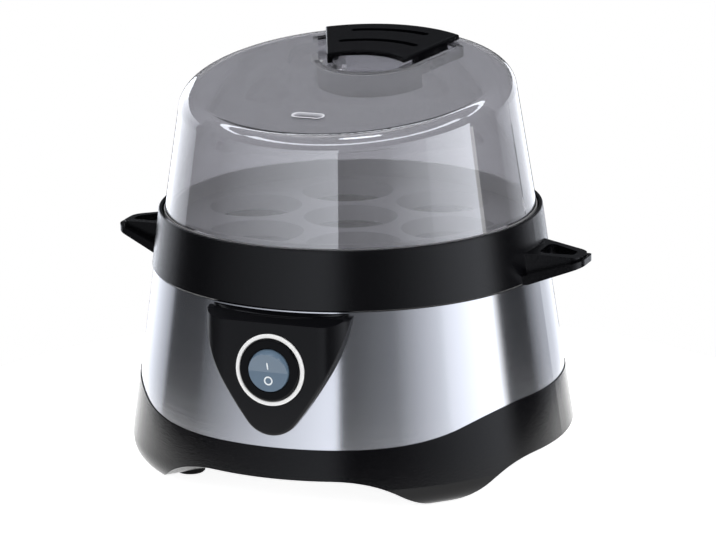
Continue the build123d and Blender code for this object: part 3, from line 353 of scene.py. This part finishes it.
FINISHES = {
    # spark-eroded: a soft sheen that breaks up into fine grain
    "black_plastic": MouldedPlastic("spark_eroded_black_pp", "050507", Grain.SPARK, 0.21, 0.28),
    # the same with a closer texture: a darker face and a sharper sheen
    "skirt_black": MouldedPlastic("fine_spark_eroded_black_pp", "050507", Grain.SPARK, 0.15, 0.2),
    # satin: dim, even faces
    "handle_black": MouldedPlastic("satin_black_abs", "050507", Grain.SATIN, 0.24, 0.14),
    "panel_black": MouldedPlastic("matte_black_abs", "07070a", Grain.SATIN, 0.3, 0.18),
    # polished: near black, with small clear highlights
    "bezel_black": MouldedPlastic("polished_black_nylon", "040406", Grain.POLISHED, 0.16, 0.12),
    # brushed round the body: reflections draw out into upright bands
    "sleeve_steel": BrushedStainless("brushed_stainless"),
    "pan_steel": BrushedStainless("satin_stainless", "9c9da0", 0.35),
    # glossy lacquer: an even white line
    "bright_trim": MouldedPlastic("white_lacquered_ring", "fbfbfb", Grain.POLISHED, 0.15),
    "rocker_grey": MouldedPlastic("polished_grey_polycarbonate", "5f7386", Grain.POLISHED, 0.18),
    "mark_white": MouldedPlastic("white_ink", "eef4f8", Grain.SATIN, 0.4),
    # polished both sides: each wall darkens what is behind it and mirrors what is in front; the grip
    # pocket's front wall gets painted light, a whiter, less clear patch
    "lid_smoke": ClearMoulding("smoke_clear_styrene", "cdcdd3", 0.02, 1.59, clear=0.96,
                               specular=0.8, coat=2.2, painted_pocket_light=PocketPaintedLight()),
    # cut edge: pale and blurred
    "frosted_edge": ClearMoulding("frosted_styrene", "d6d6de", 0.4, 1.59, clear=0.25),
    # frosted mould: forms show through it as soft shades
    "rack_smoke": ClearMoulding("frosted_smoke_polypropylene", "c8c7ca", 0.3, clear=0.35),
    # soft parts: no highlight to speak of
    "black_rubber": MouldedPlastic("black_rubber", "0c0c0d", Grain.SATIN, 0.75, 0.2),
    "white_silicone": MouldedPlastic("white_silicone", "dedcd6", Grain.SATIN, 0.6),
    # plain metals: blurred reflections with a faint mottle
    "cast_aluminium": PlainMetal("cast_aluminium", "b9babd", 0.45),
    "plain_steel": PlainMetal("zinc_plated_steel", "a9abae", 0.32),
    "terminal_brass": PlainMetal("brass", "c9a35a", 0.3),
    # insulators: a pale block, a glassy glaze and satin wire covers
    "block_nylon": MouldedPlastic("natural_nylon", "e8e4d8", Grain.SATIN, 0.4),
    "fuse_ceramic": MouldedPlastic("glazed_steatite", "e4e1d8", Grain.POLISHED, 0.2),
    "brown_wire": MouldedPlastic("brown_pvc", "5a3a22", Grain.SATIN, 0.45),
    "blue_wire": MouldedPlastic("blue_pvc", "24509a", Grain.SATIN, 0.45),
    "earth_wire": MouldedPlastic("green_yellow_pvc", "8fae2c", Grain.SATIN, 0.45),
}
# solids whose finish differs from that of their slot in the record
OWN_FINISH = {"lid_handle": "handle_black", "switch_housing": "bezel_black",
              "foot_skirt": "skirt_black"}


class Wardrobe:
    """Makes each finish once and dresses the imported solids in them."""

    def __init__(self) -> None:
        """Build every material from the table of finishes."""
        self.materials = {slot: finish.make() for slot, finish in FINISHES.items()}

    def dress(self, piece: bpy.types.Object, slot: str) -> None:
        """Give a piece one finish in all its material slots.

        Args:
            piece: a mesh object.
            slot: a key of the table of finishes.
        """
        if not piece.material_slots:
            piece.data.materials.append(self.materials[slot])
        for holder in piece.material_slots:
            holder.material = self.materials[slot]

    def dress_solids(self) -> None:
        """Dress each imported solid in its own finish, or else in that of its slot."""
        for part in frame["record"]["subparts"]:
            finish = OWN_FINISH.get(part["node"], part["material_slot"])
            self.dress(frame["nodes"][part["node"]], finish)
            log.info("%s dressed in %s", part["node"], finish)


# ---------------------------------------------------------------- pieces
def mesh_object(name: str, points: np.ndarray, faces: list) -> bpy.types.Object:
    """Make a mesh object and link it to the scene.

    Args:
        name: name of the mesh and of the object.
        points: n by 3 places in millimetres.
        faces: the point numbers of each face.

    Returns:
        The new object.
    """
    mesh = bpy.data.meshes.new(name)
    mesh.from_pydata((points * MM).tolist(), [], faces)
    made = bpy.data.objects.new(name, mesh)
    bpy.context.collection.objects.link(made)
    return made


def add_piece(name: str, body: str, points: np.ndarray,
              faces: np.ndarray) -> bpy.types.Object:
    """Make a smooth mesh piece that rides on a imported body.

    Args:
        name: name of the piece.
        body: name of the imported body.
        points: n by 3 places in millimetres.
        faces: m by 4 point numbers.

    Returns:
        The new object.
    """
    piece = mesh_object(name, points, faces.tolist())
    piece.data.polygons.foreach_set("use_smooth", np.ones(len(faces), dtype=bool))
    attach(piece, body)
    return piece


def grid_faces(rows: int, columns: int, wrap_rows: bool, wrap_columns: bool = True) -> np.ndarray:
    """Quads of a grid of points that are numbered row by row.

    Args:
        rows: number of rows of points.
        columns: number of points in a row.
        wrap_rows: whether the last row joins the first.
        wrap_columns: whether the last column joins the first.

    Returns:
        An array of m by 4 point numbers.
    """
    i, j = np.meshgrid(np.arange(rows if wrap_rows else rows - 1),
                       np.arange(columns if wrap_columns else columns - 1), indexing="ij")
    k, m = (i + 1) % rows, (j + 1) % columns
    quads = np.stack([i * columns + j, i * columns + m, k * columns + m, k * columns + j], -1)
    return quads.reshape(-1, 4)


@dataclass
class RockerMarks:
    """The plain on and off marks of the rocker: a bar on its upper face, a ring on its lower."""

    lean: float = 2.6           # degrees, of the panel
    throw: float = 10.0         # degrees, tipped to off, which is the rest position
    dish: float = 8.0           # degrees, slope of each half of the face
    vee: float = 2.6            # height of the middle of the face over the pivot
    stroke: float = 0.62
    proud: float = 0.12
    bar_middle: float = 2.7     # from the vee, along the face
    bar_length: float = 3.3
    ring_middle: float = 3.6
    ring_r: float = 1.55
    bar_steps: int = 25

    def place(self, points: np.ndarray, side: int) -> np.ndarray:
        """Move points from a half face's own (across, from the vee, out) to the row frame.

        With s the side, d the dish and t the throw, a point at (u, v, w) has the height
        vee + v sin d + w cos d over the pivot and the place s (v cos d - w sin d) along the
        panel; both turn by t about X, and the panel's own axes lean back by its lean.

        Args:
            points: n by 3 places in millimetres.
            side: 1 for the upper half, -1 for the lower.

        Returns:
            n by 3 places in the row frame, in millimetres.
        """
        joint = next(j for j in frame["joints"] if j["name"] == "rocker_hinge")
        pivot = np.array(joint["pos_m"]) / MM
        d, t, a = np.radians([self.dish, self.throw, self.lean])
        u, v, w = points.T
        along = side * (v * np.cos(d) - w * np.sin(d))
        out = self.vee + v * np.sin(d) + w * np.cos(d)
        along, out = along * np.cos(t) - out * np.sin(t), along * np.sin(t) + out * np.cos(t)
        up_axis = np.array([0, np.sin(a), np.cos(a)])
        out_axis = np.array([0, -np.cos(a), np.sin(a)])
        return pivot + np.outer(u, [1, 0, 0]) + np.outer(along, up_axis) + np.outer(out, out_axis)

    def build(self, wardrobe: "Wardrobe") -> None:
        """Make both marks as raised beads and dress them.

        The ring is ((R + r cos b) cos a, (R + r cos b) sin a, p sin b), a flattened torus. The
        bar is a flattened capsule: (r e cos b, l x, p e sin b) with e = (1 - x^6)^(1/2), x from
        -1 to 1.
        """
        r = self.stroke / 2
        around = np.linspace(0, 2 * np.pi, BEAD_STEPS, endpoint=False)
        a, b = np.meshgrid(np.linspace(0, 2 * np.pi, SWEEP_STEPS, endpoint=False), around,
                           indexing="ij")
        reach = self.ring_r + r * np.cos(b)
        ring = np.stack([reach * np.cos(a), self.ring_middle + reach * np.sin(a),
                         self.proud * np.sin(b)], -1).reshape(-1, 3)
        x, c = np.meshgrid(np.sin(np.linspace(-np.pi / 2, np.pi / 2, self.bar_steps)), around,
                           indexing="ij")
        ease = np.sqrt(np.clip(1 - x ** 6, 0, 1))
        bar = np.stack([r * ease * np.cos(c), self.bar_middle + self.bar_length / 2 * x,
                        self.proud * ease * np.sin(c)], -1).reshape(-1, 3)
        for name, points, side, rows, closed in (
                ("rocker_mark_off", ring, -1, SWEEP_STEPS, True),
                ("rocker_mark_on", bar, 1, self.bar_steps, False)):
            piece = add_piece(name, "rocker", self.place(points, side),
                              grid_faces(rows, BEAD_STEPS, closed))
            wardrobe.dress(piece, "mark_white")


@dataclass
class VentLip:
    """Frosted lip that lines the lid's steam slot, where the moulding is cut through."""

    length: float = 13.0
    width: float = 4.6          # along the slanted top
    middle_y: float = -45.5     # along the slanted top
    wall: float = 2.0
    lip: float = 0.55           # its width on the top
    crown: float = 0.15         # where it stands highest, out from the slot's edge
    proud: float = 0.16
    liner: float = 0.1          # how far it lines the slot
    steps: int = 64

    def build(self, wardrobe: "Wardrobe") -> None:
        """Sweep the lip's profile round the slot.

        The slot is a straight of half length s = (L - W) / 2 with round ends of radius W / 2,
        at (s sign(cos t) + (W / 2 + q) cos t, (W / 2 + q) sin t) for a profile at distance q
        outside it. The wall goes down upright through the slanted sheet.
        """
        profile = np.array([(self.lip, 0.0), (0.6 * self.lip, 0.9 * self.proud),
                            (self.crown, self.proud), (-self.liner, 0.3 * self.proud),
                            (-self.liner, -self.wall), (0.0, -self.wall)])
        turn = np.linspace(0, 2 * np.pi, self.steps, endpoint=False) + np.pi / self.steps
        t, q = np.meshgrid(turn, profile[:, 0], indexing="ij")
        drop = np.broadcast_to(profile[:, 1], q.shape)
        end = (self.length - self.width) / 2
        across = end * np.sign(np.cos(t)) + (self.width / 2 + q) * np.cos(t)
        along = self.middle_y + (self.width / 2 + q) * np.sin(t)
        a = np.radians(LID_TOP_TILT)
        points = np.stack([across, along * np.cos(a), LID_TOP_Z + along * np.sin(a) + drop], -1)
        piece = add_piece("vent_lip", "lid", points.reshape(-1, 3),
                          grid_faces(self.steps, len(profile), True, False))
        wardrobe.dress(piece, "frosted_edge")


@dataclass
class PanelLip:
    """Black fillet where the control panel's top edge runs up against the steel."""

    sleeve_top_r: float = 82.3
    sleeve_top_z: float = 81.5
    taper: float = 8.22         # degrees from upright
    half_turn: float = 20.6     # degrees to either side of the front

    def build(self, wardrobe: "Wardrobe") -> None:
        """Sweep the fillet's profile round the front of the sleeve.

        At azimuth a and height z the sleeve has r = R + (Z - z) tan(taper); the profile stands
        q e outside it, where e = (1 - (a / A)^8)^(1/2) draws the ends in.
        """
        # out from the sleeve, and height: a foot, a hollow curve and a feathered edge
        profile = np.array([(0.0, 78.6), (2.7, 78.6), (1.9, 79.9), (1.0, 80.7), (0.3, 81.02),
                            (0.0, 81.06)])
        rows = SWEEP_STEPS + 1
        share, k = np.meshgrid(np.linspace(-1, 1, rows), np.arange(len(profile)), indexing="ij")
        a = np.radians(self.half_turn) * share
        q, z = profile[k, 0], profile[k, 1]
        ease = np.sqrt(1 - share ** 8)
        r = self.sleeve_top_r + (self.sleeve_top_z - z) * np.tan(np.radians(self.taper)) + q * ease
        points = np.stack([r * np.sin(a), -r * np.cos(a), z], -1).reshape(-1, 3)
        piece = add_piece("panel_top_lip", "base", points,
                          grid_faces(rows, len(profile), False))
        wardrobe.dress(piece, "bezel_black")


# ---------------------------------------------------------------- studio
# Cards round the object, seen in its reflections only: these make the upright bands.
# Name, first and last azimuth in degrees (0 at -Y, 90 at +X), and how bright it looks at each,
# where 1 is white.
TALL_CARDS = (
    ("left_white_card", -145, -132, 2.4, 2.1),
    ("left_falling_card", -132, -98, 1.9, 0.5),
    ("left_black_card", -98, -68, 0.06, 0.07),
    ("left_rising_card", -68, 14, 0.1, 1.45),
    ("front_dark_card", 14, 45, 0.05, 0.26),
    ("front_rising_card", 45, 72, 0.3, 1.1),
    ("right_white_card", 72, 107, 1.3, 2.4),
    ("right_black_card", 110, 135, 0.05, 0.05),
)
# Low ones behind: a level face seen from near its own height mirrors the flag above them.  The
# black one draws the thin dark line that ends each curved side.
LOW_CARDS = (
    ("back_rising_card", 135, 188, 0.15, 1.8),
    ("back_black_card", 188, 215, 0.04, 0.04),
)
# Name, place and side length, in millimetres.
SOFTBOXES = (
    ("left_softbox", (-1300, -300, 700), 1300),
    ("right_softbox", (1300, -250, 600), 1300),
    ("top_softbox", (0, 200, 1500), 1100),
)


@dataclass
class Studio:
    """The camera, the floor, the surrounding light, and the cards and lamps that are mirrored."""

    azimuth: float = 21.5       # degrees
    elevation: float = 14.88
    roll: float = -0.86
    distance: float = 1550.56
    focal_px: float = 3716.79
    width_px: float = 716.0
    target_side: float = 2.65
    target_z: float = 77.04
    sensor: float = 36.0
    clip_m: tuple[float, float] = (0.05, 20.0)
    fill: float = 0.7           # strength of the world for rays that carry light only
    paper_colour: str = "f4f4f4"
    paper_roughness: float = 0.9
    floor_lift: float = 0.9     # added to the paper where it is seen, so that it reads as white
    floor_r: float = 205.0      # the paper ends short of the cards, which reach below its level
    floor_sides: int = 96
    softbox_watts: float = 9.0
    card_distance: float = 2200.0
    card_colour: str = "f2f6ff"     # daylight lamps, a little cool
    card_steps: int = 24
    card_low: float = -2200.0
    card_high: float = 1000.0
    back_card_high: float = 400.0
    flag_gap: float = 60.0      # the black flags stand behind the cards
    flag_level: float = 0.1
    strip_level: float = 3.0
    strip_low: float = 2700.0   # the strip lamp overhead, which draws the thin lines of the edges
    strip_high: float = 3500.0
    strip_turn: tuple[float, float] = (-80, 125)
    back_turn: tuple[float, float] = (125, 280)     # of the strip lamp behind
    back_low: float = 2300.0
    back_high: float = 2560.0
    zenith_level: float = 5.0
    zenith_r: float = 400.0     # the round lamp straight overhead, for the edges of level faces
    axis_r: float = 1.0         # sheets that close overhead or underneath stop just off the axis

    def camera(self) -> None:
        """Place the camera on a sphere about its target and roll it about its line of sight."""
        a, e, r = np.radians([self.azimuth, self.elevation, self.roll])
        back = np.array([np.sin(a) * np.cos(e), -np.cos(a) * np.cos(e), np.sin(e)])
        right = np.array([np.cos(a), np.sin(a), 0.0])
        up = np.cross(back, right)
        place = right * self.target_side + np.array([0, 0, self.target_z]) + back * self.distance
        rolled_right = right * np.cos(r) + up * np.sin(r)
        rolled_up = -right * np.sin(r) + up * np.cos(r)
        turn = Matrix([rolled_right, rolled_up, back]).transposed()
        data = bpy.data.cameras.new("camera")
        data.sensor_fit = "HORIZONTAL"
        data.sensor_width = self.sensor
        data.lens = self.sensor * self.focal_px / self.width_px
        data.clip_start, data.clip_end = self.clip_m
        camera = bpy.data.objects.new("camera", data)
        camera.matrix_world = Matrix.Translation(Vector(place * MM)) @ turn.to_4x4()
        bpy.context.collection.objects.link(camera)
        bpy.context.scene.camera = camera

    def shown_white(self, tree: bpy.types.NodeTree) -> bpy.types.NodeSocket:
        """Socket that is 1 for camera, glossy and transmission rays, and 0 for the rest."""
        path = add_node(tree, "ShaderNodeLightPath")
        seen = add_node(tree, "ShaderNodeMath", {"operation": "MAXIMUM"},
                        {0: path.outputs["Is Camera Ray"], 1: path.outputs["Is Glossy Ray"]})
        return add_node(tree, "ShaderNodeMath", {"operation": "MAXIMUM"},
                        {0: seen.outputs["Value"],
                         1: path.outputs["Is Transmission Ray"]}).outputs["Value"]

    def surroundings(self) -> None:
        """White world for what is seen, and a lower level for the light it gives."""
        world = bpy.data.worlds.new("studio")
        world.use_nodes = True
        tree = world.node_tree
        tree.nodes.clear()
        level = add_node(tree, "ShaderNodeMapRange", None,
                         {"Value": self.shown_white(tree), "To Min": self.fill, "To Max": 1.0})
        back = add_node(tree, "ShaderNodeBackground", None,
                        {"Color": (1, 1, 1, 1), "Strength": level.outputs["Result"]})
        add_node(tree, "ShaderNodeOutputWorld", None, {"Surface": back.outputs["Background"]})
        bpy.context.scene.world = world

    def floor(self) -> None:
        """A round sheet of white paper under the object; its rim is (r cos t, r sin t, 0)."""
        turn = np.linspace(0, 2 * np.pi, self.floor_sides, endpoint=False)
        rim = np.stack([np.cos(turn), np.sin(turn), np.zeros_like(turn)], -1) * self.floor_r
        floor = mesh_object("floor", rim, [tuple(range(self.floor_sides))])
        material, tree = new_material("white_paper")
        paper = add_node(tree, "ShaderNodeBsdfPrincipled", None,
                         {"Base Color": linear(self.paper_colour),
                          "Roughness": self.paper_roughness})
        lift = add_node(tree, "ShaderNodeMath", {"operation": "MULTIPLY"},
                        {0: self.shown_white(tree), 1: self.floor_lift})
        glow = add_node(tree, "ShaderNodeEmission", None,
                        {"Color": (1, 1, 1, 1), "Strength": lift.outputs["Value"]})
        both = add_node(tree, "ShaderNodeAddShader", None,
                        {0: paper.outputs["BSDF"], 1: glow.outputs["Emission"]})
        add_node(tree, "ShaderNodeOutputMaterial", None, {"Surface": both.outputs["Shader"]})
        floor.data.materials.append(material)

    def card(self, name: str, start: float, end: float, first: float, last: float,
             low: float, high: float) -> None:
        """Stand a curved card round the object, which only shows as a reflection.

        Args:
            name: name of the card.
            start: first azimuth in degrees, 0 at -Y and 90 at +X.
            end: last azimuth.
            first: how bright it looks at the first azimuth, where 1 is white.
            last: how bright it looks at the last azimuth.
            low: height of the lower edge in millimetres.
            high: height of the upper edge.
        """
        self.reflector(name, start, end, first, last,
                       [(self.card_distance, low), (self.card_distance, high)])

    def reflector(self, name: str, start: float, end: float, first: float, last: float,
                  outline: list[tuple[float, float]]) -> None:
        """Turn an outline about the upright axis into a glowing sheet seen in reflections only.

        The surface is (r sin a, -r cos a, z) for (r, z) on the outline and a from start to end.
        Its brightness runs evenly from the one end to the other, as if lit from one side.

        Args:
            name: name of the sheet.
            start: first azimuth in degrees.
            end: last azimuth.
            first: how bright it looks at the first azimuth.
            last: how bright it looks at the last azimuth.
            outline: radius and height of each point of the outline, in millimetres.
        """
        steps, (r, z) = self.card_steps, np.array(outline).T
        along, rise = np.meshgrid(np.linspace(0, 1, steps + 1), np.arange(len(r)), indexing="ij")
        angle = np.radians(start + (end - start) * along)
        points = np.stack([r[rise] * np.sin(angle), -r[rise] * np.cos(angle), z[rise]], -1)
        faces = grid_faces(steps + 1, len(r), False, False)
        card = mesh_object(name, points.reshape(-1, 3), faces.tolist())
        corners = np.stack([along, rise], -1).reshape(-1, 2)[faces.ravel()]
        card.data.uv_layers.new(name="along").data.foreach_set("uv", corners.ravel())
        material, tree = new_material(name)
        place = add_node(tree, "ShaderNodeUVMap", {"uv_map": "along"})
        split = add_node(tree, "ShaderNodeSeparateXYZ", None, {"Vector": place.outputs["UV"]})
        level = add_node(tree, "ShaderNodeMapRange", None,
                         {"Value": split.outputs["X"], "To Min": first, "To Max": last})
        glow = add_node(tree, "ShaderNodeEmission", None,
                        {"Color": linear(self.card_colour), "Strength": level.outputs["Result"]})
        add_node(tree, "ShaderNodeOutputMaterial", None, {"Surface": glow.outputs["Emission"]})
        card.data.materials.append(material)
        card.visible_camera = card.visible_diffuse = card.visible_shadow = False
        card.visible_transmission = False

    def softbox(self, name: str, spot: tuple[float, float, float], side: float) -> None:
        """Hang a square softbox that faces the object.

        Args:
            name: name of the lamp.
            spot: place of its middle, in millimetres.
            side: length of its sides, in millimetres.
        """
        data = bpy.data.lights.new(name, "AREA")
        data.shape = "SQUARE"
        data.size = side * MM
        data.energy = self.softbox_watts
        lamp = bpy.data.objects.new(name, data)
        place = Vector(spot) * MM
        lamp.location = place
        away = place - Vector((0, 0, self.target_z * MM))
        lamp.rotation_euler = away.to_track_quat("Z", "Y").to_euler()
        lamp.visible_glossy = lamp.visible_transmission = False     # the cards are what shows
        bpy.context.collection.objects.link(lamp)

    def build(self) -> None:
        """Set up the view, the floor, the lamps and what is mirrored."""
        bpy.context.scene.view_settings.view_transform = "Standard"
        self.camera()
        self.surroundings()
        self.floor()
        for name, spot, side in SOFTBOXES:
            self.softbox(name, spot, side)
        for name, *span in TALL_CARDS:
            self.card(name, *span, self.card_low, self.card_high)
        for name, *span in LOW_CARDS:
            self.card(name, *span, self.card_low, self.back_card_high)
        level = self.strip_level
        self.card("overhead_strip", *self.strip_turn, level, level, self.strip_low, self.strip_high)
        self.card("overhead_strip_behind", *self.back_turn, level, level, self.back_low,
                  self.back_high)
        self.reflector("zenith_lamp", 0, 360, self.zenith_level, self.zenith_level,
                       [(self.zenith_r, self.strip_high), (self.axis_r, self.strip_high)])
        r, top = self.card_distance + self.flag_gap, self.strip_high + self.flag_gap
        self.reflector("flag_above", 0, 360, self.flag_level, self.flag_level,
                       [(r, self.back_card_high), (r, top), (self.axis_r, top)])
        self.reflector("flag_below", 0, 360, self.flag_level, self.flag_level,
                       [(self.axis_r, self.card_low), (r, self.card_low),
                        (r, self.card_low + self.flag_gap)])


def main() -> None:
    """Build the pieces in order and report each one."""
    logging.basicConfig(level=logging.INFO, format="%(message)s")
    Studio().build()
    wardrobe = Wardrobe()
    wardrobe.dress_solids()
    for part in (RockerMarks(), VentLip(), PanelLip()):
        part.build(wardrobe)
        log.info("%s built", type(part).__name__)


if __name__ == "__main__":
    main()
